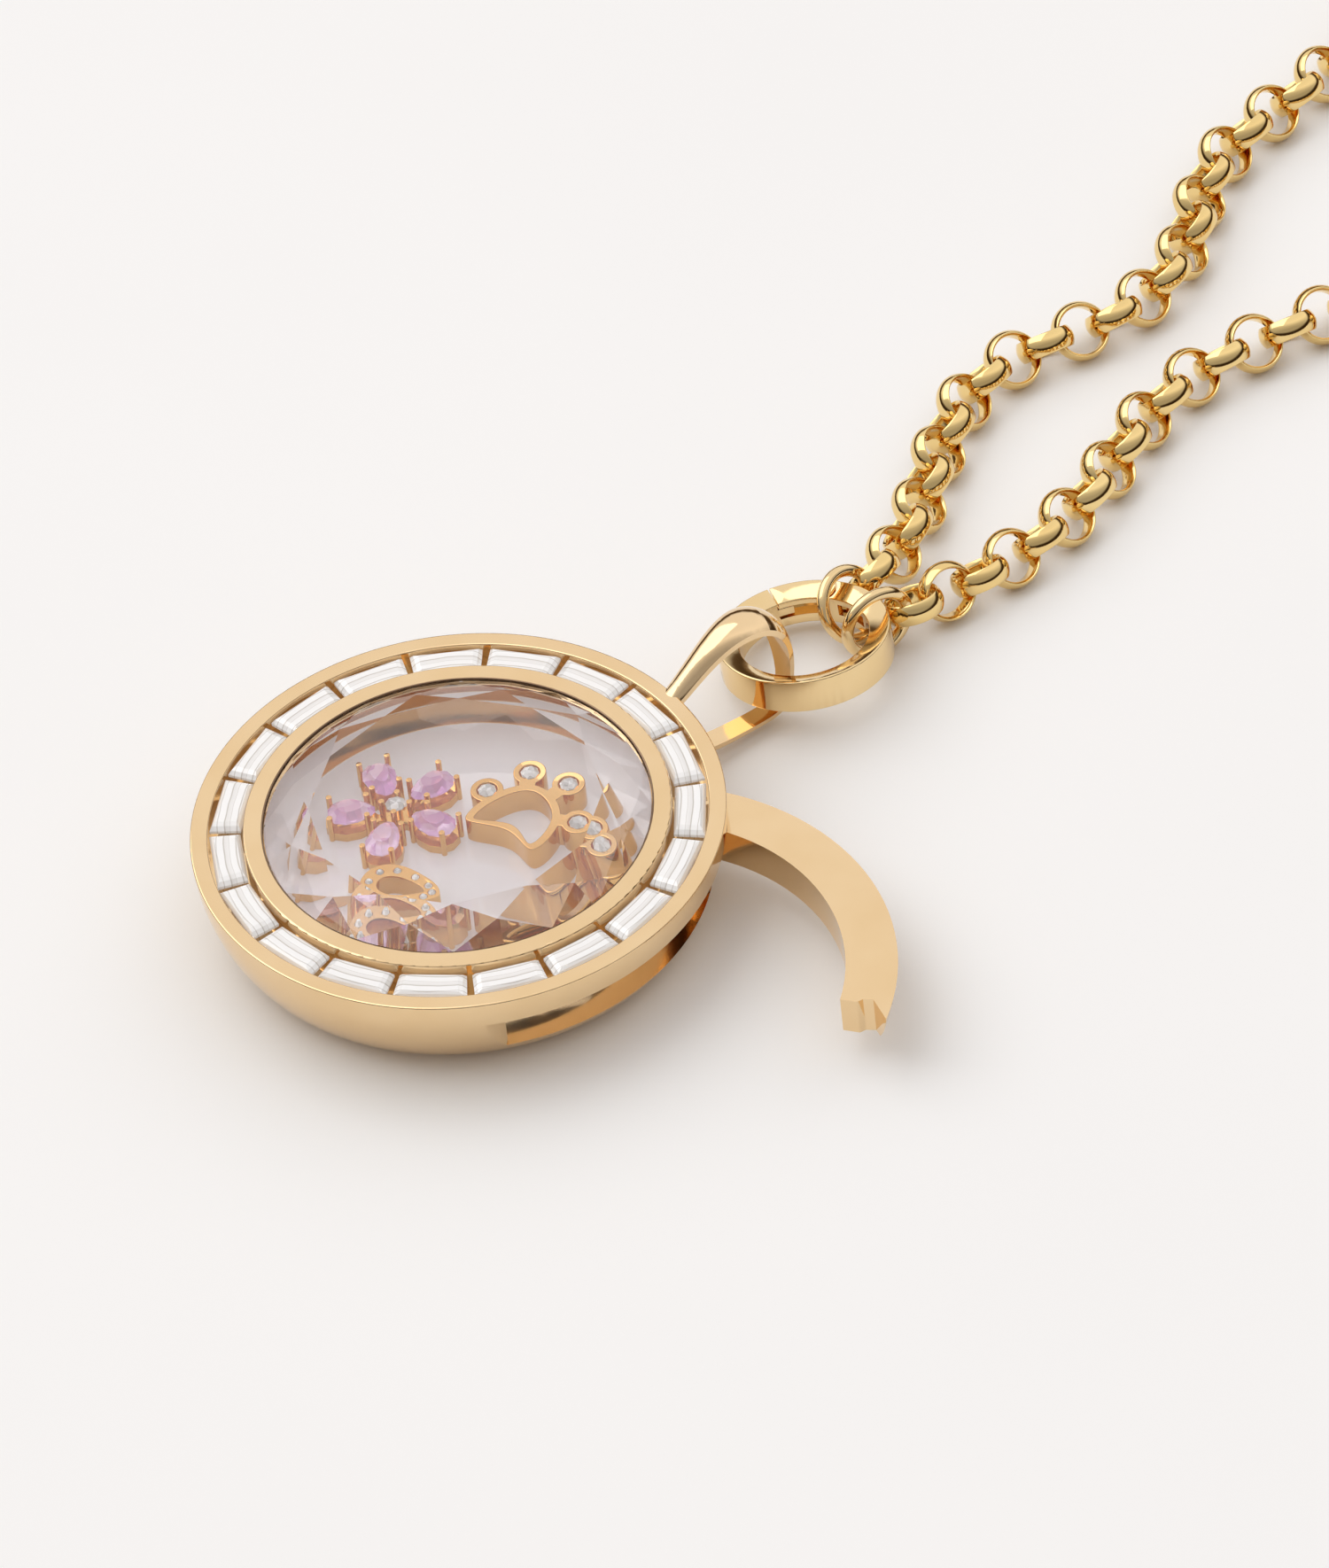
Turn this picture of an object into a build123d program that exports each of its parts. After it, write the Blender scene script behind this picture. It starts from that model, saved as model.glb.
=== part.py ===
from build123d import *
from math import atan2, cos, degrees, radians, sin, sqrt, tan
import os

os.makedirs("parts", exist_ok=True)

# A round glass locket on a belcher chain, lying on its back. Millimetres.
# The origin is on the floor under the centre of the case, +Z is up and +Y points to the bail and the chain.

# Gaps: between fixed pieces, between moving pieces, and round a hinge pin
seat_gap = 0.05
swing_gap = 0.10
pin_gap = 0.05
edge_round = 0.08

# The case: a bowl-shaped wall with a flat rim on top and an opening in the back
case_radius = 12.5
case_height = 5.2
wall_curve = 3.0
wall_thick = 2.35
rim_width = 0.82
channel_width = 1.68
channel_floor = 4.15
bezel_width = 0.92
bezel_rise = 0.25
window_lip_width = 0.28
window_lip_height = 0.3
chamber_floor = 1.5
back_lip_width = 0.48
back_lip_height = 0.75

# The opening in the wall and the gate that closes it
slot_floor = 1.62
slot_roof = 3.80
hinge_inset = 0.155
hinge_angle = 58.55
hinge_pin_radius = 0.40
gate_tip_angle = -31.4
gate_end_step = 1.10
gate_proud = 0.18
gate_open_angle = 66.3

# The bail, a band that leaves the wall under the rim and comes back to its foot
bail_top_height = 7.0
bail_foot_height = 0.5
bail_reach = 6.5
bail_width = 2.2
bail_thick = 0.7

# The stones in the rim
baguette_count = 19
baguette_inner_gap = 0.25
baguette_outer_gap = 0.37
baguette_girdle = 0.15
baguette_crown = 0.26
baguette_step = 0.24
baguette_below_rim = 0.05

# The crystals
crystal_facets = 12
crystal_turn = 22.8
front_table_inset = 2.23
front_crown = 0.95
front_girdle_below_bezel = 0.10
back_table_inset = 2.78
back_crown = 0.65
back_girdle = 0.55

# The clasp ring, which passes through the bail and leans on it
clasp_radius = 4.18
clasp_band = 1.06
clasp_height = 1.75
clasp_dish = 0.35
clasp_shift = -1.36
clasp_beyond_bail = 2.03
clasp_top = 2.85
clasp_lean = 8.5
clasp_lean_towards = 169.8
clasp_hinge_angle = 127.0
clasp_seam_angle = 167.0
clasp_slot_height = 0.60
clasp_slot_depth = 0.66
clasp_slot_start = 80.0
clasp_slot_end = 113.0
clasp_lip = 0.50
clasp_tongue_height = 0.40
clasp_tongue_sweep = 14.0
clasp_pin_radius = 0.18

# The jump rings between the clasp ring and the two ends of the chain, left and then right
jump_wire = 0.60
jump_radius = 1.66
jump_angles = [107.2, 73.3]
jump_turns = [-1.7, 11.3]
jump_leans = [33.4, 2.5]
jump_outs = [0.0, 0.01]
jump_rises = [-0.04, -0.06]

# The belcher chain
link_inner_radius = 1.16
link_thick = 0.335
link_width = 1.10
link_inner_width = 0.70
link_shoulder = 0.12
link_roll = 45.0
link_pitch = 1.92
chain_height = 1.32
# Shares along half of a link's faceted outside: width from the edge's, height from the shoulder
link_dome = [(1.0, 0.0), (0.62, 0.70), (0.24, 1.0)]

# The chain's way, measured from the clasp ring's centre: the left strand from its jump ring, round the
# neck loop, and back along the right strand
chain_route = [
    (-1.69, 5.47), (-2.94, 8.17), (-5.44, 11.57), (-7.84, 14.77), (-9.54, 18.17), (-9.74, 21.67),
    (-9.04, 25.37), (-9.34, 29.17), (-11.14, 32.57), (-13.54, 35.57), (-15.14, 38.97), (-15.84, 42.97),
    (-17.64, 49.97), (-23.64, 60.97), (-33.14, 73.47), (-42.64, 88.97), (-48.64, 107.97),
    (-46.64, 128.97), (-35.14, 146.47), (-17.14, 156.97), (3.86, 156.47), (21.86, 145.47),
    (32.86, 127.47), (33.36, 105.97), (26.36, 86.47), (15.86, 69.47), (6.36, 54.97), (0.06, 41.97),
    (-2.54, 31.47), (-2.84, 25.57), (-1.64, 21.37), (-0.04, 17.97), (1.06, 14.47), (1.41, 10.47),
    (1.19, 5.67),
]
# How far the route rises at its two ends, and how far the links beside the jump rings roll on from the rest
start_lifts = [0.54, 0.16]
end_lifts = [0.05, 0.45]
start_rolls = [-7.6, 2.0, -6.0]
end_rolls = [-5.0, -10.0, -20.0, -20.2]

# The charms in the chamber
charm_gap = 0.03
charm_plate = 0.45
stone_gap = 0.02
prong_radius = 0.14
# Cut stones: the corners of a round one, the table and the culet as shares of the girdle, and for each
# kind the height of crown, girdle and pavilion as shares of half its width
round_corners = 8
table_share = 0.55
culet_share = 0.12
petal_cut = (0.42, 0.075, 0.555)
centre_cut = (0.32, 0.10, 0.80)
toe_cut = (0.36, 0.09, 0.73)
drop_cut = (0.55, 0.17, 1.11)
flower_x = -3.89
flower_y = -0.94
flower_turn = 92.0
petal_count = 5
petal_distance = 2.10
petal_length = 2.30
petal_width = 1.95
petal_corners = 12
petal_girdle = 0.95
petal_rise = 1.42
flower_web = 0.45
flower_centre_radius = 0.50
flower_centre_rise = 1.20
paw_x = 0.75
paw_y = 2.95
paw_height = 1.30
paw_rim = 0.42
toe_radius = 0.78
toe_seat = 0.45
toe_stone_radius = 0.44
toe_stone_sink = 0.08
toe_places = [(-2.49, -0.15), (-2.10, 2.05), (-0.25, 2.95), (2.10, 1.75)]
pad_places = [(-1.62, -1.75), (-1.85, -0.2), (-1.0, 1.6), (0.25, 1.65), (1.7, 0.45), (1.95, -0.85), (0.3, -0.85)]
drop_x = 0.65
drop_y = -3.95
drop_turn = 35.0
drop_length = 3.9
drop_width = 2.9
drop_rim = 0.80
drop_height = 1.15
drop_seat = 0.30
drop_stone_count = 10
drop_stone_radius = 0.18
drop_stone_sink = 0.04


def around(radius, angle):
    return radius * cos(radians(angle)), radius * sin(radians(angle))


def upright(plane):
    """The plane that holds the given plane's x direction and its normal."""
    return Plane(origin=plane.origin, x_dir=plane.x_dir, z_dir=plane.x_dir.cross(plane.z_dir))


def write(piece, name):
    piece.part.label = name
    export_step(piece.part, f"parts/{name}.step")


# Case

channel_outer_radius = case_radius - rim_width
channel_inner_radius = channel_outer_radius - channel_width
window_radius = channel_inner_radius - bezel_width
back_opening_radius = window_radius - back_lip_width
chamber_radius = case_radius - wall_thick
knuckle_radius = wall_thick / 2
hinge_radius = chamber_radius + knuckle_radius - hinge_inset
bezel_top = case_height + bezel_rise
window_lip_top = slot_roof + window_lip_height
window_lip_radius = window_radius - window_lip_width
back_seat_radius = window_radius
base_radius = case_radius - wall_curve
hinge_x, hinge_y = around(hinge_radius, hinge_angle)
gate_floor = slot_floor + swing_gap
gate_roof = slot_roof - swing_gap

# The gate's free end seen from above, from the inside of the wall to the tip of the outer lobe:
# share of the wall's thickness, share of the end step behind the tip
gate_end = [
    (0.0, 0.73), (0.34, 0.75), (0.44, 0.96), (0.64, 1.04), (0.74, 0.78), (0.88, 0.42), (1.0, 0.12), (1.1, 0.0),
]
end_points = []
for through, back in gate_end:
    radius = chamber_radius + through * wall_thick
    end_points.append(around(radius, gate_tip_angle + degrees(back * gate_end_step / radius)))
gate_tip = end_points[-1]
tip_radius = sqrt(gate_tip[0] ** 2 + gate_tip[1] ** 2)
middle_angle = (gate_tip_angle + hinge_angle) / 2
gate_outline_points = {
    "inner_hinge": around(chamber_radius, hinge_angle),
    "inner_middle": around(chamber_radius, middle_angle),
    "outer_hinge": around(tip_radius, hinge_angle),
    "outer_middle": around(tip_radius, middle_angle),
}

with BuildSketch(Plane.XY) as gate_outline:
    with BuildLine():
        Polyline(*end_points)
        ThreePointArc(gate_tip, gate_outline_points["outer_middle"], gate_outline_points["outer_hinge"])
        Line(gate_outline_points["outer_hinge"], gate_outline_points["inner_hinge"])
        ThreePointArc(gate_outline_points["inner_hinge"], gate_outline_points["inner_middle"], end_points[0])
    make_face()
    with Locations((hinge_x, hinge_y)):
        Circle(knuckle_radius)

# Shares along the bail: reach from the wall, place between foot and top, width, thickness
bail_stations = [
    (-0.06, 0.66, 0.50, 0.86), (0.11, 0.77, 0.57, 0.90), (0.32, 0.91, 0.70, 0.95), (0.55, 1.0, 0.89, 1.0),
    (0.785, 0.965, 1.0, 1.0), (0.93, 0.80, 0.97, 0.90), (0.99, 0.57, 0.78, 0.78), (1.0, 0.33, 0.56, 0.72),
    (0.97, 0.13, 0.48, 0.71), (0.85, 0.015, 0.46, 0.71), (0.62, 0.0, 0.46, 0.74), (0.354, 0.018, 0.48, 0.80),
    (0.108, 0.07, 0.50, 0.86), (-0.185, 0.13, 0.50, 0.86),
]
# The stations at which one lofted span ends and the next begins
bail_spans = [(0, 4), (4, 8), (8, 13)]
bail_rise = bail_top_height - bail_foot_height
bail_points = []
for reach, rise, width, thick in bail_stations:
    bail_points.append((0, case_radius + reach * bail_reach, bail_foot_height + rise * bail_rise))
bail_path = Spline(*bail_points)

with BuildPart() as case:
    with BuildSketch(Plane.XZ):
        with BuildLine():
            EllipticalCenterArc((base_radius, case_height), wall_curve, case_height, 270, arc_size=90)
            Polyline(
                (case_radius, case_height),
                (channel_outer_radius, case_height),
                (channel_outer_radius, channel_floor),
                (channel_inner_radius, channel_floor),
                (channel_inner_radius, bezel_top),
                (window_radius, bezel_top),
                (window_radius, window_lip_top),
                (window_lip_radius, window_lip_top),
                (window_lip_radius, slot_roof),
                (chamber_radius, slot_roof),
                (chamber_radius, chamber_floor),
                (back_seat_radius, chamber_floor),
                (back_seat_radius, back_lip_height),
                (back_opening_radius, back_lip_height),
                (back_opening_radius, 0),
                (base_radius, 0),
            )
        make_face()
    revolve(axis=Axis.Z)
    top_edges = case.edges().filter_by(GeomType.CIRCLE).filter_by(
        lambda edge: edge.center().Z > case_height - edge_round
    )
    fillet(top_edges, edge_round)
    # The opening in the wall, with a square pocket behind the hinge for the swinging knuckle
    with BuildSketch(Plane.XY.offset(slot_floor)):
        add(gate_outline.sketch)
        offset(amount=swing_gap, kind=Kind.INTERSECTION)
        pocket = knuckle_radius + 1.5 * swing_gap
        with Locations(Location((hinge_x, hinge_y, 0), (0, 0, hinge_angle))):
            Rectangle(2 * pocket, pocket, align=(Align.MIN, Align.MIN))
    extrude(amount=slot_roof - slot_floor, mode=Mode.SUBTRACT)
    # The hinge pin stands in the opening
    with BuildSketch(Plane.XY.offset(slot_floor)):
        with Locations((hinge_x, hinge_y)):
            Circle(hinge_pin_radius)
    extrude(amount=slot_roof - slot_floor)
    # The bail is soldered to the wall: flat inside, domed outside
    for first, last in bail_spans:
        for index in range(first, last + 1):
            reach, rise, width, thick = bail_stations[index]
            at = bail_path.param_at_point(Vector(*bail_points[index]))
            section_plane = Plane(origin=bail_points[index], x_dir=(1, 0, 0), z_dir=bail_path.tangent_at(at))
            half_width = width * bail_width / 2
            half_thick = thick * bail_thick / 2
            shoulder = 0.1 * half_thick
            with BuildSketch(section_plane):
                with BuildLine():
                    Polyline(
                        (half_width, shoulder), (half_width, half_thick), (-half_width, half_thick),
                        (-half_width, shoulder),
                    )
                    ThreePointArc((-half_width, shoulder), (0, -half_thick), (half_width, shoulder))
                make_face()
        loft()
write(case, "case")

# Gate of the case, drawn where it closes and stored swung open

swing = Location((hinge_x, hinge_y, 0), (0, 0, gate_open_angle)) * Location((-hinge_x, -hinge_y, 0))
open_plane = swing * Plane.XY

with BuildPart() as case_gate:
    with BuildSketch(upright(open_plane)):
        with BuildLine():
            EllipticalCenterArc(
                (base_radius + gate_proud, case_height), wall_curve, case_height, 270, arc_size=90
            )
            Polyline(
                (case_radius + gate_proud, case_height), (base_radius + gate_proud, case_height),
                (base_radius + gate_proud, 0),
            )
        make_face()
    revolve(axis=Axis(open_plane.origin, open_plane.z_dir))
    with BuildSketch(open_plane.offset(gate_floor)):
        add(gate_outline.sketch)
        with Locations((hinge_x, hinge_y)):
            Circle(hinge_pin_radius + pin_gap, mode=Mode.SUBTRACT)
    extrude(amount=gate_roof - gate_floor, mode=Mode.INTERSECT)
write(case_gate, "case_gate")

# Crystals: a flat slab with a brilliant-cut face, star facets round the table, then kites, then girdle facets


def facet_plane(first, second, third, outward):
    """Plane through three points whose normal points away from the stone."""
    across = Vector(*second) - Vector(*first)
    normal = across.cross(Vector(*third) - Vector(*first))
    if normal.Z * outward < 0:
        normal = normal * -1
    return Plane(origin=first, x_dir=across, z_dir=normal)


def crystal_planes(table_radius, table_height, girdle_radius, girdle_height):
    outward = 1 if table_height > girdle_height else -1
    step = 360 / crystal_facets
    star_radius = table_radius + 0.48 * (girdle_radius - table_radius)
    slope = (table_height - girdle_height) / (girdle_radius - table_radius)
    star_height = table_height - slope * (star_radius * cos(radians(step / 2)) - table_radius)
    planes = []
    for index in range(crystal_facets):
        angle = crystal_turn + index * step
        table_here = (*around(table_radius, angle), table_height)
        table_next = (*around(table_radius, angle + step), table_height)
        girdle_here = (*around(girdle_radius, angle), girdle_height)
        girdle_middle = (*around(girdle_radius, angle + step / 2), girdle_height)
        girdle_next = (*around(girdle_radius, angle + step), girdle_height)
        star = (*around(star_radius, angle + step / 2), star_height)
        side = (*(Vector(*girdle_here) + Vector(0, 0, 1).cross(Vector(*girdle_here)).normalized()),)
        planes.append(facet_plane(girdle_here, (side[0], side[1], girdle_height), table_here, outward))
        planes.append(facet_plane(table_here, table_next, star, outward))
        planes.append(facet_plane(girdle_here, girdle_middle, star, outward))
        planes.append(facet_plane(girdle_middle, girdle_next, star, outward))
    return planes


crystal_radius = window_radius - seat_gap
front_table_radius = window_radius - front_table_inset
back_table_radius = window_radius - back_table_inset
front_underside = window_lip_top + seat_gap
front_girdle_height = bezel_top - front_girdle_below_bezel
front_table_height = front_girdle_height + front_crown
with BuildPart() as front_crystal:
    with BuildSketch(Plane.XY.offset(front_underside)):
        Circle(crystal_radius)
    extrude(amount=front_table_height - front_underside)
    for plane in crystal_planes(front_table_radius, front_table_height, crystal_radius, front_girdle_height):
        split(bisect_by=plane, keep=Keep.BOTTOM)
write(front_crystal, "front_crystal")

back_girdle_height = chamber_floor - back_girdle
back_table_height = back_girdle_height - back_crown
with BuildPart() as back_crystal:
    with BuildSketch(Plane.XY.offset(back_table_height)):
        Circle(crystal_radius)
    extrude(amount=chamber_floor - back_table_height)
    for plane in crystal_planes(back_table_radius, back_table_height, crystal_radius, back_girdle_height):
        split(bisect_by=plane, keep=Keep.BOTTOM)
write(back_crystal, "back_crystal")

# Baguettes: step cut, a little wider at the rim than at the bezel, set side by side in the channel

baguette_top = case_height - baguette_below_rim
girdle_top = baguette_top - baguette_crown
keel_height = channel_floor + seat_gap
girdle_bottom = girdle_top - baguette_girdle
pavilion_depth = girdle_bottom - keel_height
# At each height: inset of the ends in steps, inset of the sides as a share of half the stone's width
baguette_levels = [
    (3.2, 0.92, keel_height),
    (1.5, 0.42, keel_height + 0.44 * pavilion_depth),
    (0.0, 0.0, girdle_bottom),
    (0.0, 0.0, girdle_top),
    (0.7, 0.13, baguette_top - 0.35 * baguette_crown),
    (1.6, 0.29, baguette_top),
]
half_pitch = 180 / baguette_count
stone_inner = channel_inner_radius + seat_gap
inner_half_length = stone_inner * tan(radians(half_pitch)) - baguette_inner_gap / 2
stone_reach = channel_outer_radius - seat_gap
stone_outer, outer_half_length = around(
    stone_reach, half_pitch - degrees(baguette_outer_gap / 2 / stone_reach)
)

stone_width = stone_outer - stone_inner
end_slope = (outer_half_length - inner_half_length) / stone_width

for index in range(baguette_count):
    turn = 90 + index * 360 / baguette_count
    with BuildPart() as baguette:
        for end_steps, side_share, height in baguette_levels:
            end_inset = end_steps * baguette_step
            side_inset = side_share * stone_width / 2
            inner_half = inner_half_length + end_slope * side_inset - end_inset
            outer_half = outer_half_length - end_slope * side_inset - end_inset
            with BuildSketch(Plane((0, 0, height), x_dir=(*around(1, turn), 0))):
                near = stone_inner + side_inset
                far = stone_outer - side_inset
                Polygon(
                    (near, -inner_half), (far, -outer_half), (far, outer_half), (near, inner_half), align=None,
                )
        loft(ruled=True)
    write(baguette, f"baguette_{index + 1:02d}")

# Clasp ring: a flat band with a dished top, one segment of it a gate that swings outward

lean_x, lean_y = around(sin(radians(clasp_lean)), clasp_lean_towards)
clasp_up = Vector(lean_x, lean_y, cos(radians(clasp_lean)))
clasp_forward = case_radius + bail_reach + clasp_beyond_bail
clasp_top_centre = Vector(clasp_shift, clasp_forward, clasp_top)
clasp_x = (Vector(1, 0, 0) - clasp_up * clasp_up.X).normalized()
clasp_plane = Plane(origin=clasp_top_centre - clasp_up * clasp_height, x_dir=clasp_x, z_dir=clasp_up)
clasp_inner = clasp_radius - clasp_band
clasp_middle = clasp_radius - clasp_band / 2
clasp_knuckle = clasp_band / 2
clasp_tongue_radius = 0.72 * clasp_knuckle
clasp_hinge = around(clasp_middle, clasp_hinge_angle)
clasp_far = 2 * clasp_radius
gate_half_gap = degrees(swing_gap / 2 / clasp_middle)


def clasp_section():
    """Section of the band, in the plane of the ring's axis."""
    Polyline(
        (clasp_inner, 0), (clasp_radius, 0), (clasp_radius, clasp_height),
        (clasp_inner, clasp_height - clasp_dish), close=True,
    )


def clasp_wedge(start, end, mode=Mode.ADD):
    middle = (start + end) / 2
    Polygon(
        (0, 0), around(clasp_far, start), around(clasp_far, middle), around(clasp_far, end), align=None, mode=mode,
    )


clasp_axis = Axis(clasp_plane.origin, clasp_up)
clasp_upright = upright(clasp_plane)
slot_plane = clasp_plane.offset(clasp_lip)
tongue_plane = clasp_plane.offset(clasp_lip + (clasp_slot_height - clasp_tongue_height) / 2)

with BuildPart() as clasp_ring:
    with BuildSketch(clasp_upright):
        with BuildLine():
            clasp_section()
        make_face()
    revolve(axis=clasp_axis)
    fillet(clasp_ring.edges().filter_by(GeomType.CIRCLE), edge_round)
    # Room for the gate, round at the hinge
    with BuildSketch(clasp_plane):
        clasp_wedge(clasp_hinge_angle, clasp_seam_angle + gate_half_gap)
        with Locations(clasp_hinge):
            Circle(clasp_knuckle + swing_gap)
    extrude(amount=clasp_height, mode=Mode.SUBTRACT)
    # The slot in the ring's own inner face
    with BuildSketch(slot_plane):
        Circle(clasp_inner + clasp_slot_depth)
        clasp_wedge(clasp_slot_start, clasp_slot_end, mode=Mode.INTERSECT)
    extrude(amount=clasp_slot_height, mode=Mode.SUBTRACT)
    # A tongue reaches into the gate's slot at each end, bored for the pin at the hinge
    with BuildSketch(tongue_plane):
        with Locations(clasp_hinge):
            Circle(clasp_tongue_radius)
        with Locations(Location((*clasp_hinge, 0), (0, 0, clasp_hinge_angle))):
            Rectangle(1.5 * clasp_tongue_radius, 2 * clasp_knuckle, align=(Align.CENTER, Align.MAX))
        with Locations(clasp_hinge):
            Circle(clasp_pin_radius + pin_gap, mode=Mode.SUBTRACT)
    extrude(amount=clasp_tongue_height)
    with BuildSketch(tongue_plane):
        Circle(clasp_inner + clasp_slot_depth - swing_gap)
        Circle(clasp_inner + swing_gap, mode=Mode.SUBTRACT)
        clasp_wedge(clasp_seam_angle - clasp_tongue_sweep, clasp_seam_angle + clasp_tongue_sweep, Mode.INTERSECT)
    extrude(amount=clasp_tongue_height)
write(clasp_ring, "clasp_ring")

with BuildPart() as clasp_gate:
    with BuildSketch(clasp_upright):
        with BuildLine():
            clasp_section()
        make_face()
    revolve(axis=clasp_axis)
    fillet(clasp_gate.edges().filter_by(GeomType.CIRCLE), edge_round)
    with BuildSketch(clasp_plane):
        clasp_wedge(clasp_hinge_angle, clasp_seam_angle - gate_half_gap)
        with Locations(clasp_hinge):
            Circle(clasp_knuckle)
    extrude(amount=clasp_height, mode=Mode.INTERSECT)
    # The slot along its inner face, right through at the hinge
    with BuildSketch(slot_plane):
        Circle(clasp_inner + clasp_slot_depth)
        with Locations(clasp_hinge):
            Circle(clasp_tongue_radius + swing_gap)
        with Locations(Location((*clasp_hinge, 0), (0, 0, clasp_hinge_angle))):
            Rectangle(clasp_band * 1.2, 2 * clasp_knuckle, align=(Align.CENTER, Align.MAX))
    extrude(amount=clasp_slot_height, mode=Mode.SUBTRACT)
    with BuildSketch(clasp_plane.offset(clasp_lip / 2)):
        with Locations(clasp_hinge):
            Circle(clasp_pin_radius)
    extrude(amount=clasp_slot_height + clasp_lip)
write(clasp_gate, "clasp_gate")

# Jump rings: round wire, each round the clasp ring's band


def jump_plane(angle, turn, lean, out, rise):
    """The ring's own plane: square to the band, then turned about the upright and leaned over."""
    place = clasp_plane.location * Location((*around(clasp_middle + out, angle), clasp_height / 2 + rise))
    tangent = Vector(sin(radians(angle + turn)), -cos(radians(angle + turn)), 0)
    normal = tangent * cos(radians(lean)) + Vector(0, 0, 1) * sin(radians(lean))
    return Plane(origin=place.position, x_dir=Vector(0, 0, 1).cross(normal), z_dir=normal)


jump_planes = [jump_plane(*values) for values in zip(jump_angles, jump_turns, jump_leans, jump_outs, jump_rises)]
for name, plane in zip(("jump_ring_left", "jump_ring_right"), jump_planes):
    with BuildPart() as jump_ring:
        with BuildSketch(upright(plane)):
            with Locations((jump_radius, 0)):
                Circle(jump_wire / 2)
        revolve(axis=Axis(plane.origin, plane.z_dir))
    write(jump_ring, name)

# Chain: equal links, each rolled half a turn of the other way against the last

shoulder_radius = link_inner_radius + link_shoulder
dome_height = link_thick - link_shoulder
dome_points = [(shoulder_radius + rise * dome_height, width * link_width / 2) for width, rise in link_dome]
with BuildPart() as link:
    with BuildSketch(Plane.XZ):
        with BuildLine():
            Polyline(
                (link_inner_radius, -link_inner_width / 2), (link_inner_radius, link_inner_width / 2),
                *dome_points, *[(radius, -across) for radius, across in reversed(dome_points)], close=True,
            )
        make_face()
    revolve(axis=Axis.Z)

route_lifts = start_lifts + [0] * (len(chain_route) - len(start_lifts) - len(end_lifts)) + end_lifts
chain_line = Spline(
    *[
        (clasp_shift + x, clasp_forward + y, chain_height + lift)
        for (x, y), lift in zip(chain_route, route_lifts)
    ]
)
link_count = 2 * round((chain_line.length / link_pitch + 1) / 2)
link_step = chain_line.length / (link_count - 1)
roll_changes = start_rolls + [0] * (link_count - len(start_rolls) - len(end_rolls)) + end_rolls
link_places = []
for index in range(link_count):
    along = index * link_step
    here = chain_line.position_at(along, position_mode=PositionMode.LENGTH)
    ahead = chain_line.tangent_at(along, position_mode=PositionMode.LENGTH)
    side = ahead.cross(Vector(0, 0, 1))
    roll = radians((link_roll if index % 2 else -link_roll) + roll_changes[index])
    normal = Vector(0, 0, 1) * cos(roll) + side * sin(roll)
    link_places.append(Plane(origin=here, x_dir=ahead, z_dir=normal).location)
print("links", link_count, "step", round(link_step, 4), "chain length", round(chain_line.length, 1))

half_count = link_count // 2
for name, places in (("chain_left", link_places[:half_count]), ("chain_right", link_places[half_count:])):
    with BuildPart() as chain:
        with Locations(*places):
            add(link.part)
    write(chain, name)

# Charms. A cut stone is a stack of outlines: culet, girdle, table


def cut_stone(outline, plane, half_width, cut):
    """A stone whose girdle starts at the plane; outline gives its corners for a share of full size."""
    crown, girdle, pavilion = [half_width * share for share in cut]
    with BuildPart() as stone:
        for share, height in ((culet_share, -pavilion), (1, 0), (1, girdle), (table_share, girdle + crown)):
            with BuildSketch(plane.offset(height)):
                Polygon(*outline(share), align=None)
        loft(ruled=True)
    return stone


def round_outline(radius):
    def outline(share):
        return [around(radius * share, 360 * index / round_corners) for index in range(round_corners)]
    return outline


def pear_point(angle, grow):
    """A point of a petal's outline, grown on all sides: round end outward, narrow end to the flower's middle."""
    narrowing = 0.8 + 0.2 * cos(radians(angle))
    x, y = around(1, angle)
    return (petal_length / 2 + grow) * x, (petal_width / 2 * narrowing + grow) * y


def pear_outline(share, grow=0):
    points = []
    for index in range(petal_corners):
        x, y = pear_point(360 * (index + 0.5) / petal_corners, grow)
        points.append((share * x, share * y))
    return points


charm_floor = chamber_floor + charm_gap
flower_plane = Plane((flower_x, flower_y, charm_floor), x_dir=(*around(1, flower_turn), 0))
petal_angles = [index * 360 / petal_count for index in range(petal_count)]
prong_angles = [-125, -40, 40, 125]
prong_out = prong_radius + stone_gap
cup_share = 0.72

with BuildPart() as flower_setting:
    with BuildSketch(flower_plane):
        Circle(flower_centre_radius + prong_out)
        for angle in petal_angles:
            with Locations(Location((*around(petal_distance, angle), 0), (0, 0, angle))):
                Polygon(*pear_outline(1, prong_radius), align=None)
        with PolarLocations(petal_distance / 2, petal_count):
            Rectangle(petal_distance, flower_web)
    extrude(amount=charm_plate)
    # Cups round the petals are cut away inside, under the stones
    with BuildSketch(flower_plane.offset(charm_plate / 2)):
        for angle in petal_angles:
            with Locations(Location((*around(petal_distance, angle), 0), (0, 0, angle))):
                Polygon(*pear_outline(cup_share), align=None)
    extrude(amount=charm_plate, mode=Mode.SUBTRACT)
    # Prongs round each petal, and four round the middle stone
    with BuildSketch(flower_plane):
        for angle in petal_angles:
            petal_place = Location((*around(petal_distance, angle), 0), (0, 0, angle))
            for prong_angle in prong_angles:
                with Locations(petal_place * Location((*pear_point(prong_angle, prong_out), 0))):
                    Circle(prong_radius)
        with PolarLocations(flower_centre_radius + prong_out, 4, start_angle=45):
            Circle(prong_radius)
    extrude(amount=petal_rise)
write(flower_setting, "flower_setting")

for index, angle in enumerate(petal_angles):
    petal_plane = flower_plane.location * Location((0, 0, 0), (0, 0, angle)) * Location((petal_distance, 0, 0))
    petal = cut_stone(pear_outline, Plane(petal_plane).offset(petal_girdle), petal_width / 2, petal_cut)
    write(petal, f"flower_petal_{index + 1}")

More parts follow.
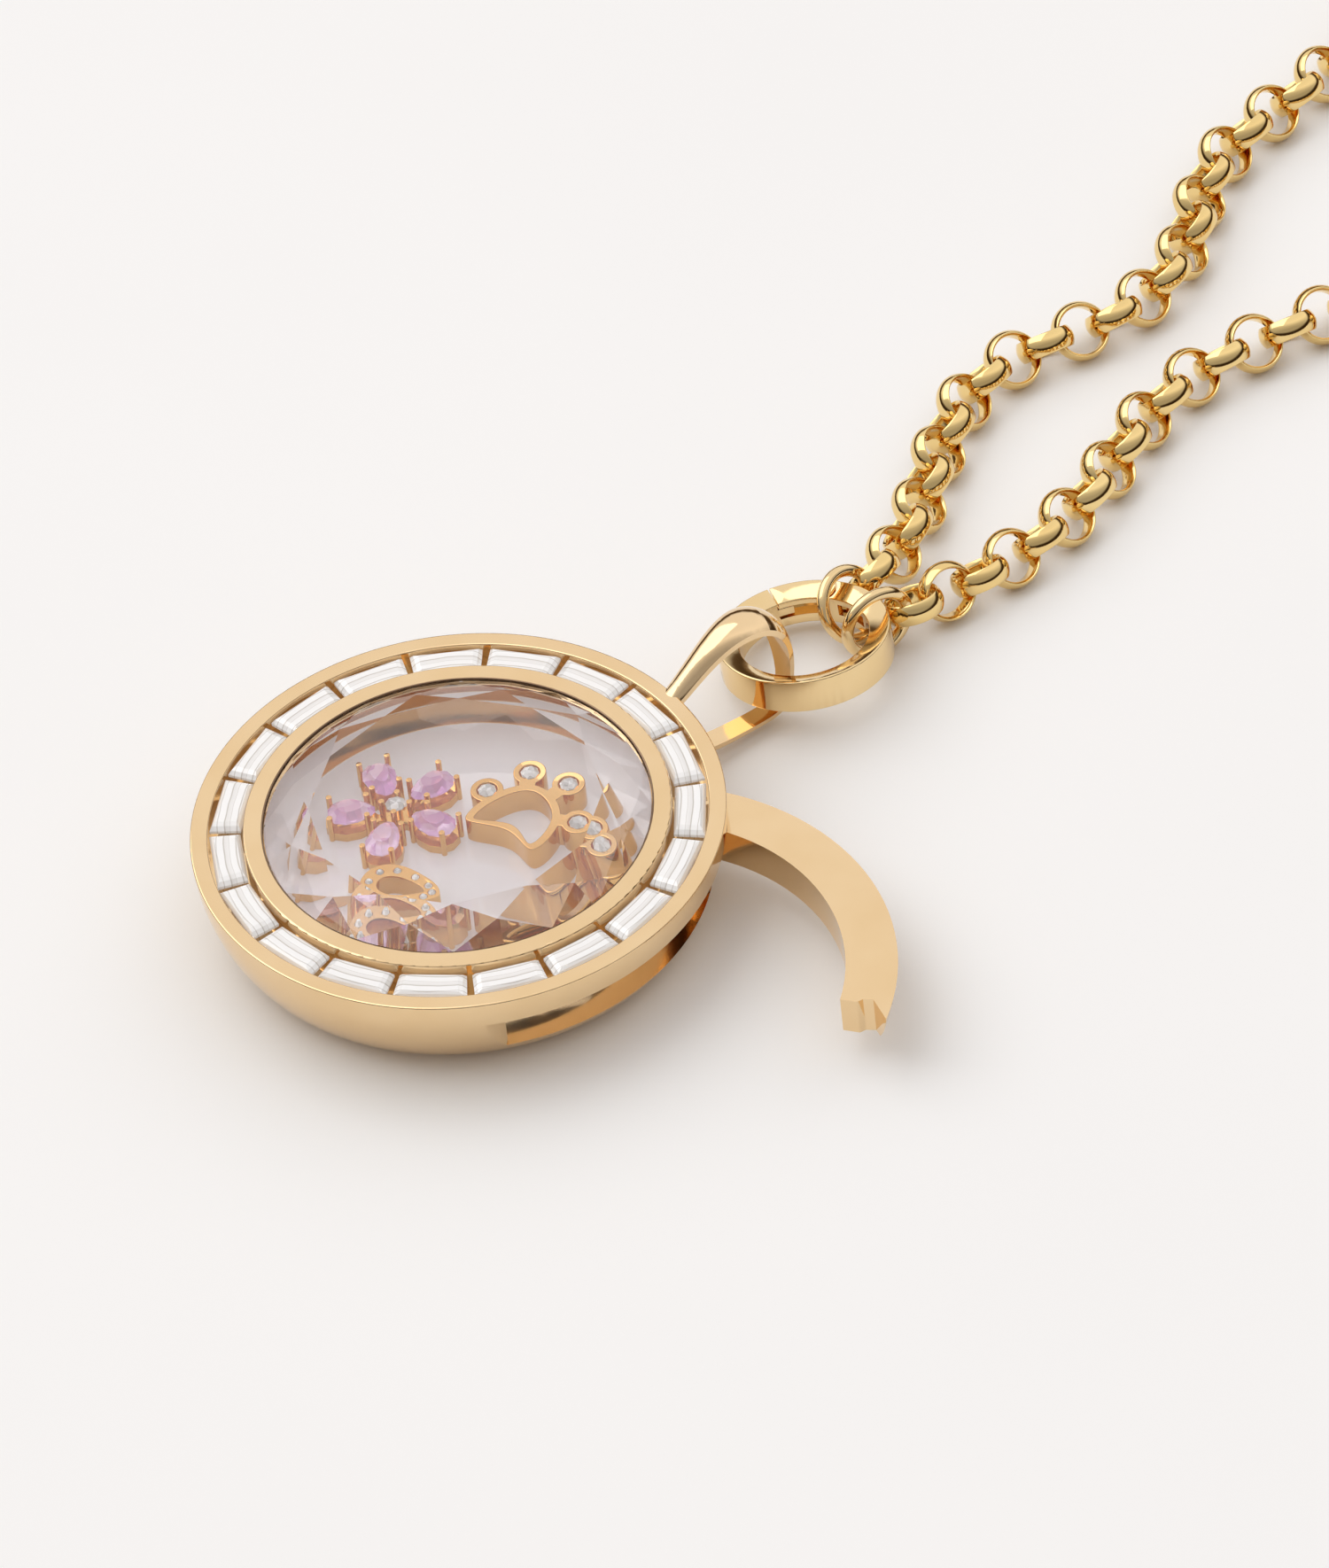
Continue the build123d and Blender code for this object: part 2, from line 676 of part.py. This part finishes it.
middle_plane = flower_plane.offset(flower_centre_rise)
flower_centre = cut_stone(
    round_outline(flower_centre_radius), middle_plane, flower_centre_radius, centre_cut
)
write(flower_centre, "flower_centre")


def pad_outline(grow):
    """The paw pad's outline, grown away from its middle."""
    points = []
    for x, y in pad_places:
        distance = sqrt(x * x + y * y)
        points.append((x * (1 + grow / distance), y * (1 + grow / distance)))
    return points


paw_plane = Plane((paw_x, paw_y, charm_floor))
with BuildPart() as paw_charm:
    with BuildSketch(paw_plane):
        with BuildLine():
            Spline(*pad_outline(paw_rim / 2), periodic=True)
        make_face()
        with Locations(*toe_places):
            Circle(toe_radius)
        # Bars from the pad's middle to the toes
        for x, y in toe_places:
            with Locations(Location((0, 0, 0), (0, 0, degrees(atan2(y, x))))):
                Rectangle(sqrt(x * x + y * y), toe_radius, align=(Align.MIN, Align.CENTER))
    extrude(amount=paw_height)
    with BuildSketch(paw_plane):
        with BuildLine():
            Spline(*pad_outline(-paw_rim / 2), periodic=True)
        make_face()
    extrude(amount=paw_height, mode=Mode.SUBTRACT)
    with BuildSketch(paw_plane.offset(paw_height)):
        with Locations(*toe_places):
            Circle(toe_stone_radius + seat_gap)
    extrude(amount=-toe_seat, mode=Mode.SUBTRACT)
write(paw_charm, "paw_charm")

for index, place in enumerate(toe_places):
    toe_plane = Plane((paw_x + place[0], paw_y + place[1], charm_floor + paw_height - toe_stone_sink))
    toe_stone = cut_stone(round_outline(toe_stone_radius), toe_plane, toe_stone_radius, toe_cut)
    write(toe_stone, f"paw_stone_{index + 1}")

drop_plane = Plane((drop_x, drop_y, charm_floor), x_dir=(*around(1, drop_turn), 0))


def drop_point(angle, length, width):
    """Teardrop: round at one end, drawn out to a point at the other."""
    narrowing = 0.72 - 0.28 * cos(radians(angle))
    return length / 2 * cos(radians(angle)), width / 2 * sin(radians(angle)) * narrowing * 1.2


def drop_outline(grow):
    return [drop_point(angle, drop_length + grow, drop_width + grow) for angle in range(0, 360, 30)]


drop_mid = [
    drop_point(360 * index / drop_stone_count, drop_length - drop_rim, drop_width - drop_rim)
    for index in range(drop_stone_count)
]
with BuildPart() as drop_charm:
    with BuildSketch(drop_plane):
        with BuildLine():
            Spline(*drop_outline(0), periodic=True)
        make_face()
        with BuildLine():
            Spline(*drop_outline(-2 * drop_rim), periodic=True)
        make_face(mode=Mode.SUBTRACT)
    extrude(amount=drop_height)
    with BuildSketch(drop_plane.offset(drop_height)):
        with Locations(*drop_mid):
            Circle(drop_stone_radius + stone_gap)
    extrude(amount=-drop_seat, mode=Mode.SUBTRACT)
write(drop_charm, "drop_charm")

pave = []
for place in drop_mid:
    stone_plane = Plane(drop_plane.location * Location((*place, drop_height - drop_stone_sink)))
    pave.append(cut_stone(round_outline(drop_stone_radius), stone_plane, drop_stone_radius, drop_cut).part)
with BuildPart() as drop_stones:
    add(pave)
write(drop_stones, "drop_stones")
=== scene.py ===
import math

import bmesh
import bpy
import numpy as np
from mathutils import Matrix, Vector


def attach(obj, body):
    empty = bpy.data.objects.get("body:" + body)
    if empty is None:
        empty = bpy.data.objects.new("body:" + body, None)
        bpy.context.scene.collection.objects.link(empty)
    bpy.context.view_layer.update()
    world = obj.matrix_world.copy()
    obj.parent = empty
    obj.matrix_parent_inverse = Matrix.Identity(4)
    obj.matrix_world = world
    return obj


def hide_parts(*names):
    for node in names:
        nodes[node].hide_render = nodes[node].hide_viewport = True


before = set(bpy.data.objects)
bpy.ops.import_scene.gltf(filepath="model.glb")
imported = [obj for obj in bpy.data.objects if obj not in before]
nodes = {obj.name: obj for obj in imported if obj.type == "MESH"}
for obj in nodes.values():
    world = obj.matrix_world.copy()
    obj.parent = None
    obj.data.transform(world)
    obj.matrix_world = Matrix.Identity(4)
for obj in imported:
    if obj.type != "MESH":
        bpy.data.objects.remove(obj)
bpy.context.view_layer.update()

MM = 0.001
scene = bpy.context.scene

# The camera, at the photograph's angle, fitted to the ellipses of the case's rim, channel and window

PHOTO_WIDTH = 1500  # pixels
FOCAL_LENGTH = 10954.33  # pixels of the photograph
SENSOR_WIDTH = 36  # mm
CAMERA_DISTANCE = 0.45  # m

target = Vector((4.704, 8.495, 5.2)) * MM
azimuth = math.radians(57.8)
elevation = math.radians(43.6575)
tilt = math.radians(6.8413)
back = Vector((
    math.sin(azimuth) * math.cos(elevation),
    -math.cos(azimuth) * math.cos(elevation),
    math.sin(elevation),
))
level_right = Vector((math.cos(azimuth), math.sin(azimuth), 0))
level_up = back.cross(level_right)
right = level_right * math.cos(tilt) - level_up * math.sin(tilt)
up = level_up * math.cos(tilt) + level_right * math.sin(tilt)
camera_data = bpy.data.cameras.new("camera")
camera = bpy.data.objects.new("camera", camera_data)
scene.collection.objects.link(camera)
camera_data.sensor_fit = "HORIZONTAL"
camera_data.sensor_width = SENSOR_WIDTH
camera_data.lens = FOCAL_LENGTH * SENSOR_WIDTH / PHOTO_WIDTH
camera_data.clip_start = 0.01
camera_data.clip_end = 20
place = Matrix((right, up, back)).transposed().to_4x4()
place.translation = target + back * CAMERA_DISTANCE
camera.matrix_world = place
scene.camera = camera


# Materials


def colour_ramp(tree, source, stops):
    """A colour ramp in a node tree, driven by source, from (position, colour) pairs in rising order."""
    node = tree.nodes.new("ShaderNodeValToRGB")
    elements = node.color_ramp.elements
    for element, (position, colour) in zip(elements, (stops[0], stops[-1])):
        element.position = position
        element.color = (*colour, 1)
    for position, colour in stops[1:-1]:
        elements.new(position).color = (*colour, 1)
    tree.links.new(source, node.inputs["Fac"])
    return node.outputs["Color"]


class Net:
    """A material's nodes, added and joined in short calls."""

    def __init__(self, name):
        self.material = bpy.data.materials.new(name)
        self.material.use_nodes = True
        self.tree = self.material.node_tree
        self.shader = self.tree.nodes["Principled BSDF"]
        self.place = self.add("ShaderNodeTexCoord").outputs["Object"]

    def add(self, kind, **values):
        """A node, with values for its inputs or its own settings by name."""
        node = self.tree.nodes.new(kind)
        for key, value in values.items():
            if key in node.inputs:
                node.inputs[key].default_value = value
            else:
                setattr(node, key, value)
        return node

    def join(self, a, b):
        self.tree.links.new(a, b)

    def noise(self, scale, detail=2.0, roughness=0.5, distortion=0.0):
        node = self.add(
            "ShaderNodeTexNoise", Scale=scale, Detail=detail, Roughness=roughness, Distortion=distortion,
        )
        self.join(self.place, node.inputs["Vector"])
        return node.outputs["Fac"]

    def ramp(self, source, low, high, first, last):
        """A colour between two, as the source goes from low to high."""
        return colour_ramp(self.tree, source, [(low, first), (high, last)])

    def span(self, source, first, last, low=0.3, high=0.7):
        """A number between two, as the source goes from low to high."""
        node = self.add("ShaderNodeMapRange")
        node.inputs["From Min"].default_value = low
        node.inputs["From Max"].default_value = high
        node.inputs["To Min"].default_value = first
        node.inputs["To Max"].default_value = last
        self.join(source, node.inputs["Value"])
        return node.outputs["Result"]

    def bump(self, source, strength, distance):
        node = self.add("ShaderNodeBump", Strength=strength, Distance=distance)
        self.join(source, node.inputs["Height"])
        self.join(node.outputs["Normal"], self.shader.inputs["Normal"])

    def set(self, **values):
        """Values on the shader's own sockets, named with _ for each space."""
        for key, value in values.items():
            self.shader.inputs[key.replace("_", " ")].default_value = value


# Noise scales are in cells per metre: 260 is a cell of about 4 mm, 2600 one of 0.4 mm
TINT_SCALE = 260
CRYSTAL_TINT_SCALE = 500
POLISH_SCALE = 900
SCRATCH_SCALE = 2600
PAPER_SCALE = 30
SCRATCH_STRENGTH = 0.05
SCRATCH_DEPTH = 0.02 * MM


def gold(name, light, deep, low_rough, high_rough):
    """Polished gold: a slightly uneven colour, faint wipe marks in the polish and very fine scratches."""
    net = Net(name)
    net.set(Metallic=1.0)
    tint = net.ramp(net.noise(TINT_SCALE, 3), 0.3, 0.7, deep, light)
    net.join(tint, net.shader.inputs["Base Color"])
    rough = net.span(net.noise(POLISH_SCALE, 4, 0.6), low_rough, high_rough)
    net.join(rough, net.shader.inputs["Roughness"])
    net.bump(net.noise(SCRATCH_SCALE, 3, 0.6, 0.4), SCRATCH_STRENGTH, SCRATCH_DEPTH)
    return net.material


def gem(name, first, last, ior, clear=1.0, glow=0.0, cut=0.0):
    """A polished stone or crystal.

    clear is the share that lets light through, and the rest is milky. glow is painted light of its own,
    which stands for the light that a real cut throws back, and on the back crystal for the pale paper seen
    through both stones. cut is the scale of small cells of tint that paint the play of facets: painted
    reflections between a darker and a lighter tone. Without it the tint is only slightly uneven.
    """
    net = Net(name)
    net.set(IOR=ior, Roughness=0.0, Transmission_Weight=clear)
    # Painted glow: the stone gives off a faint light of its own, though it is no lamp
    net.set(Emission_Color=(*last, 1), Emission_Strength=glow)
    # Painted reflections: cells of a darker and a lighter tone that stand for the play of facets
    if cut:
        facet_glints = net.add("ShaderNodeTexVoronoi", Scale=cut)
        net.join(net.place, facet_glints.inputs["Vector"])
        tint = net.ramp(facet_glints.outputs["Color"], 0.25, 0.75, first, last)
    else:
        tint = net.ramp(net.noise(CRYSTAL_TINT_SCALE, 2), 0.35, 0.65, first, last)
    net.join(tint, net.shader.inputs["Base Color"])
    return net.material


DIAMOND_IOR = 2.35

# A baguette's steps across the channel, from the window's side outwards: place, and brightness between
# the two tones. The steps are painted reflections of the facets: bright bands and thin dark lines.
STEP_REFLECTION_DARK = (0.46, 0.40, 0.34)
STEP_REFLECTION_BRIGHT = (1.0, 0.995, 0.99)
STEP_REFLECTION_LINES = [
    (0.05, 0.75), (0.06, 1.0), (0.20, 0.85), (0.21, 0.15), (0.235, 0.2), (0.245, 1.0),
    (0.40, 1.0), (0.41, 0.3), (0.425, 0.85), (0.54, 0.7), (0.55, 0.1), (0.575, 0.2),
    (0.585, 1.0), (0.75, 1.0), (0.76, 0.3), (0.78, 0.4), (0.79, 1.0), (0.92, 0.9),
]
STEPS_START = 10.15 * MM  # from the case's axis
STEPS_END = 11.83 * MM
STEP_WANDER = 0.3 * MM


def step_cut(name):
    """Step-cut diamond: bright steps parted by thin grey-brown lines that follow the channel, painted
    reflections of its facets in the base colour.

    Like the other stones it is only partly clear, with a faint painted glow.
    """
    net = Net(name)
    net.set(IOR=DIAMOND_IOR, Roughness=0.0, Transmission_Weight=0.25)
    # Painted glow for the stone's sparkle, though it is no lamp
    net.set(Emission_Color=(1, 0.99, 0.98, 1), Emission_Strength=0.09)
    # The distance from the case's axis, made to wander a little from stone to stone
    flat = net.add("ShaderNodeVectorMath", operation="MULTIPLY")
    flat.inputs[1].default_value = (1, 1, 0)
    net.join(net.place, flat.inputs[0])
    length = net.add("ShaderNodeVectorMath", operation="LENGTH")
    net.join(flat.outputs["Vector"], length.inputs[0])
    wander = net.add("ShaderNodeMath", operation="MULTIPLY_ADD")
    wander.inputs[1].default_value = STEP_WANDER
    net.join(net.noise(TINT_SCALE, 3, 0.6), wander.inputs[0])
    net.join(length.outputs["Value"], wander.inputs[2])
    across = net.span(wander.outputs["Value"], 0.0, 1.0, STEPS_START, STEPS_END)
    # The steps' painted reflections, set into the base colour by distance across the channel
    stops = [
        (position, [dark + (light - dark) * tone for dark, light in zip(STEP_REFLECTION_DARK, STEP_REFLECTION_BRIGHT)])
        for position, tone in [(0.0, 0.0), *STEP_REFLECTION_LINES, (1.0, 1.0)]
    ]
    net.join(colour_ramp(net.tree, across, stops), net.shader.inputs["Base Color"])
    return net.material


# Light and deep tone, lowest and highest roughness
case_gold = gold("case_gold", (0.87, 0.65, 0.385), (0.83, 0.60, 0.335), 0.07, 0.12)
chain_gold = gold("chain_gold", (0.90, 0.68, 0.31), (0.86, 0.62, 0.26), 0.05, 0.10)
ring_gold = gold("ring_gold", (0.87, 0.66, 0.36), (0.83, 0.61, 0.31), 0.06, 0.11)
charm_gold = gold("charm_gold", (0.84, 0.52, 0.21), (0.74, 0.42, 0.14), 0.04, 0.08)
# A dark gold for the ring of painted shade round the front crystal
shade_line_gold = gold("bezel_shade_line", (0.30, 0.20, 0.13), (0.20, 0.13, 0.08), 0.16, 0.24)

crystal = gem("crystal", (0.995, 0.98, 0.985), (1.0, 0.99, 0.99), 1.57)
# The back crystal is mostly milky, and its glow is painted light for the pale paper seen through both
# stones
back_crystal = gem("back_crystal", (0.99, 0.945, 0.96), (1.0, 0.975, 0.985), 1.55, clear=0.25, glow=0.12)
diamond = step_cut("diamond")
# Small stones: painted facet reflections, cells from a dark grey-brown to white, and a painted glow
small_diamond = gem(
    "small_diamond", (0.40, 0.36, 0.33), (1.0, 0.998, 0.995), DIAMOND_IOR, clear=0.3, glow=0.14, cut=4200,
)
# Petals: their own violet pink, with painted facet reflections from deep violet to near white, and a
# painted glow
pink = gem("pink_stone", (0.62, 0.24, 0.58), (1.0, 0.82, 0.98), 1.76, clear=0.6, glow=0.11, cut=1700)


def paint(name, material):
    data = nodes[name].data
    data.materials.clear()
    data.materials.append(material)


for name in nodes:
    if name.startswith("baguette"):
        paint(name, diamond)
    elif name.startswith(("paw_stone", "drop_stones", "flower_centre")):
        paint(name, small_diamond)
    elif name == "back_crystal":
        paint(name, back_crystal)
    elif name.startswith("flower_petal"):
        paint(name, pink)
    elif name.endswith("crystal"):
        paint(name, crystal)
    elif name.startswith("chain"):
        paint(name, chain_gold)
    elif name.startswith(("clasp", "jump")):
        paint(name, ring_gold)
    elif name.startswith(("flower", "paw", "drop")):
        paint(name, charm_gold)
    else:
        paint(name, case_gold)


def add_object(name, mesh, material):
    """An object of the scene's own, with one material."""
    mesh.materials.append(material)
    thing = bpy.data.objects.new(name, mesh)
    scene.collection.objects.link(thing)
    return thing


# The chain: each packed link is shown by a finer one in the same place, domed outside and flat inside


def link_places(node):
    """Centre and axis of each link in a chain node, from the shape of its loose pieces."""
    mesh = nodes[node].data
    points = np.empty(len(mesh.vertices) * 3)
    mesh.vertices.foreach_get("co", points)
    # Corners in one place are made one, so that each link is one loose piece
    points, same = np.unique(points.reshape(-1, 3).round(7), axis=0, return_inverse=True)
    same = same.reshape(-1)
    ends = np.empty(len(mesh.edges) * 2, dtype=int)
    mesh.edges.foreach_get("vertices", ends)
    ends = same[ends].reshape(-1, 2)
    # Each point takes the lowest mark that it is joined to, until every loose piece has one mark
    group = np.arange(len(points))
    while True:
        low = np.minimum(group[ends[:, 0]], group[ends[:, 1]])
        before = group.copy()
        np.minimum.at(group, ends[:, 0], low)
        np.minimum.at(group, ends[:, 1], low)
        group = group[group]
        if (group == before).all():
            break
    places = []
    for mark in np.unique(group):
        link = points[group == mark]
        centre = link.mean(axis=0)
        # A link is thinnest along its axis
        axis = np.linalg.svd(link - centre, full_matrices=False)[2][2]
        places.append((centre, axis))
    return places


# Half of a link's section, from the inner face to the crown: distance from the axis and from the middle, mm
LINK_SECTION = [
    (1.165, 0.00), (1.165, 0.24), (1.172, 0.34), (1.20, 0.42), (1.245, 0.49), (1.275, 0.525),
    (1.298, 0.533), (1.322, 0.520), (1.362, 0.455), (1.408, 0.365), (1.447, 0.265), (1.474, 0.165),
    (1.489, 0.075), (1.494, 0.00),
]
LINK_SIDES = 36


def fine_chain(node):
    """Domed links, each a section turned round its link's axis, in place of a packed half of the chain."""
    section = LINK_SECTION + [(radius, -across) for radius, across in LINK_SECTION[-2:0:-1]]
    section = np.array(section) * MM
    count = len(section)
    angles = np.arange(LINK_SIDES) * 2 * math.pi / LINK_SIDES
    vertices, faces = [], []
    for centre, axis in link_places(node):
        first = np.cross(axis, (0, 0, 1) if abs(axis[2]) < 0.9 else (1, 0, 0))
        first /= np.linalg.norm(first)
        second = np.cross(axis, first)
        start = len(vertices)
        for angle in angles:
            out = first * math.cos(angle) + second * math.sin(angle)
            vertices.extend(centre + radius * out + across * axis for radius, across in section)
        for side in range(LINK_SIDES):
            here, there = start + side * count, start + (side + 1) % LINK_SIDES * count
            for k in range(count):
                m = (k + 1) % count
                faces.append((here + k, there + k, there + m, here + m))
    mesh = bpy.data.meshes.new(node + "_links")
    mesh.from_pydata([tuple(v) for v in vertices], [], faces)
    bm = bmesh.new()
    bm.from_mesh(mesh)
    bmesh.ops.recalc_face_normals(bm, faces=bm.faces)
    bm.to_mesh(mesh)
    bm.free()
    mesh.shade_smooth()
    thing = add_object(node + "_links", mesh, chain_gold)
    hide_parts(node)
    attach(thing, "locket")


for node in ("chain_left", "chain_right"):
    fine_chain(node)

# Polished pieces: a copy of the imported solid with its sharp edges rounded, in the same place
MERGE_DISTANCE = 0.002 * MM
FLAT_ANGLE = math.radians(0.4)
SHARP_ANGLE = math.radians(32)


def soften(node, width, body="locket"):
    """Show a node by a copy whose sharp edges are rounded to a width in mm."""
    source = nodes[node].data
    bm = bmesh.new()
    bm.from_mesh(source)
    bmesh.ops.remove_doubles(bm, verts=bm.verts, dist=MERGE_DISTANCE)
    bmesh.ops.dissolve_limit(bm, angle_limit=FLAT_ANGLE, verts=bm.verts, edges=bm.edges)
    sharp = [e for e in bm.edges if len(e.link_faces) == 2 and e.calc_face_angle(0) > SHARP_ANGLE]
    bmesh.ops.bevel(
        bm, geom=sharp, offset=width * MM, offset_type="OFFSET", segments=3, profile=0.5,
        affect="EDGES", clamp_overlap=True,
    )
    mesh = bpy.data.meshes.new(node + "_polished")
    bm.to_mesh(mesh)
    bm.free()
    mesh.shade_smooth()
    thing = add_object(node + "_polished", mesh, source.materials[0])
    thing.modifiers.new("normals", "WEIGHTED_NORMAL").keep_sharp = True
    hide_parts(node)
    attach(thing, body)


soften("flower_setting", 0.05)
soften("paw_charm", 0.05)
soften("drop_charm", 0.05)
soften("clasp_ring", 0.03)
soften("clasp_gate", 0.03, "ring_gate")

# A thin dark ring on the bezel's inner corner, round the front crystal: painted shade and dark reflection
# along the gap between bezel and crystal. Radius and height, mm.
BEZEL_SHADE_LINE = [(9.15, 5.455), (9.09, 5.455), (9.073, 5.43), (9.073, 5.15)]
BEZEL_SHADE_LINE_SIDES = 160


def bezel_shade_line():
    """A thin dark ring of revolution from BEZEL_SHADE_LINE, the painted shade round the front crystal."""
    count = len(BEZEL_SHADE_LINE)
    vertices, faces = [], []
    for side in range(BEZEL_SHADE_LINE_SIDES):
        angle = 2 * math.pi * side / BEZEL_SHADE_LINE_SIDES
        vertices.extend((r * MM * math.cos(angle), r * MM * math.sin(angle), z * MM) for r, z in BEZEL_SHADE_LINE)
        there = (side + 1) % BEZEL_SHADE_LINE_SIDES * count
        for k in range(count - 1):
            faces.append((side * count + k, side * count + k + 1, there + k + 1, there + k))
    mesh = bpy.data.meshes.new("bezel_shade_line")
    mesh.from_pydata(vertices, [], faces)
    mesh.shade_smooth()
    thing = add_object("bezel_shade_line", mesh, shade_line_gold)
    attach(thing, "locket")


bezel_shade_line()

# Stage and light

FLOOR_SIDE = 6  # m
half = FLOOR_SIDE / 2

paper = Net("paper")
paper.set(Roughness=0.9, Specular_IOR_Level=0.1)
paper.join(
    paper.ramp(paper.noise(PAPER_SCALE, 2), 0.3, 0.7, (0.960, 0.956, 0.948), (0.970, 0.966, 0.958)),
    paper.shader.inputs["Base Color"],
)
floor_mesh = bpy.data.meshes.new("floor")
floor_mesh.from_pydata(
    [(-half, -half, 0), (half, -half, 0), (half, half, 0), (-half, half, 0)], [], [(0, 1, 2, 3)],
)
floor = add_object("floor", floor_mesh, paper.material)

# One large softbox, above and to the left as the camera sees it
KEY_SIZE = 1.2  # m
KEY_DISTANCE = 1.2  # m
KEY_POWER = 4.5  # W
key_direction = Vector((-0.51, -0.26, 0.82)).normalized()

key_light = bpy.data.lights.new("key", "AREA")
key_light.shape = "RECTANGLE"
key_light.size = KEY_SIZE
key_light.size_y = KEY_SIZE
key_light.energy = KEY_POWER
key_light.color = (0.99, 1.0, 1.0)
key = bpy.data.objects.new("key", key_light)
key.location = key_direction * KEY_DISTANCE
key.rotation_euler = key_direction.to_track_quat("Z", "Y").to_euler()
scene.collection.objects.link(key)

world = bpy.data.worlds.new("studio")
scene.world = world
world.use_nodes = True
tree = world.node_tree
direction = tree.nodes.new("ShaderNodeTexCoord").outputs["Generated"]

# A broad pale scrim overhead and behind the locket, darker towards the camera, with a dark warm band at
# the horizon
facing = tree.nodes.new("ShaderNodeVectorMath")
facing.operation = "DOT_PRODUCT"
facing.inputs[1].default_value = Vector((-0.55, 0.30, 0.78)).normalized()
tree.links.new(direction, facing.inputs[0])
scrim = colour_ramp(tree, facing.outputs["Value"], [
    (0.0, (0.42, 0.405, 0.40)),
    (0.35, (0.61, 0.59, 0.58)),
    (0.62, (1.06, 1.03, 1.02)),
    (0.85, (0.98, 0.955, 0.95)),
])
heights = tree.nodes.new("ShaderNodeSeparateXYZ")
tree.links.new(direction, heights.inputs[0])
band = colour_ramp(tree, heights.outputs["Z"], [
    (0.0, (0.26, 0.18, 0.11)),
    (0.10, (0.06, 0.035, 0.015)),
    (0.22, (0.10, 0.065, 0.035)),
    (0.35, (1.0, 1.0, 1.0)),
])
shade = tree.nodes.new("ShaderNodeVectorMath")
shade.operation = "MULTIPLY"
tree.links.new(scrim, shade.inputs[0])
tree.links.new(band, shade.inputs[1])
tree.links.new(shade.outputs["Vector"], tree.nodes["Background"].inputs["Color"])

scene.view_settings.view_transform = "Standard"
scene.cycles.max_bounces = 24
scene.cycles.transmission_bounces = 20
scene.cycles.glossy_bounces = 12
scene.cycles.transparent_max_bounces = 16
scene.cycles.sample_clamp_indirect = 6.0
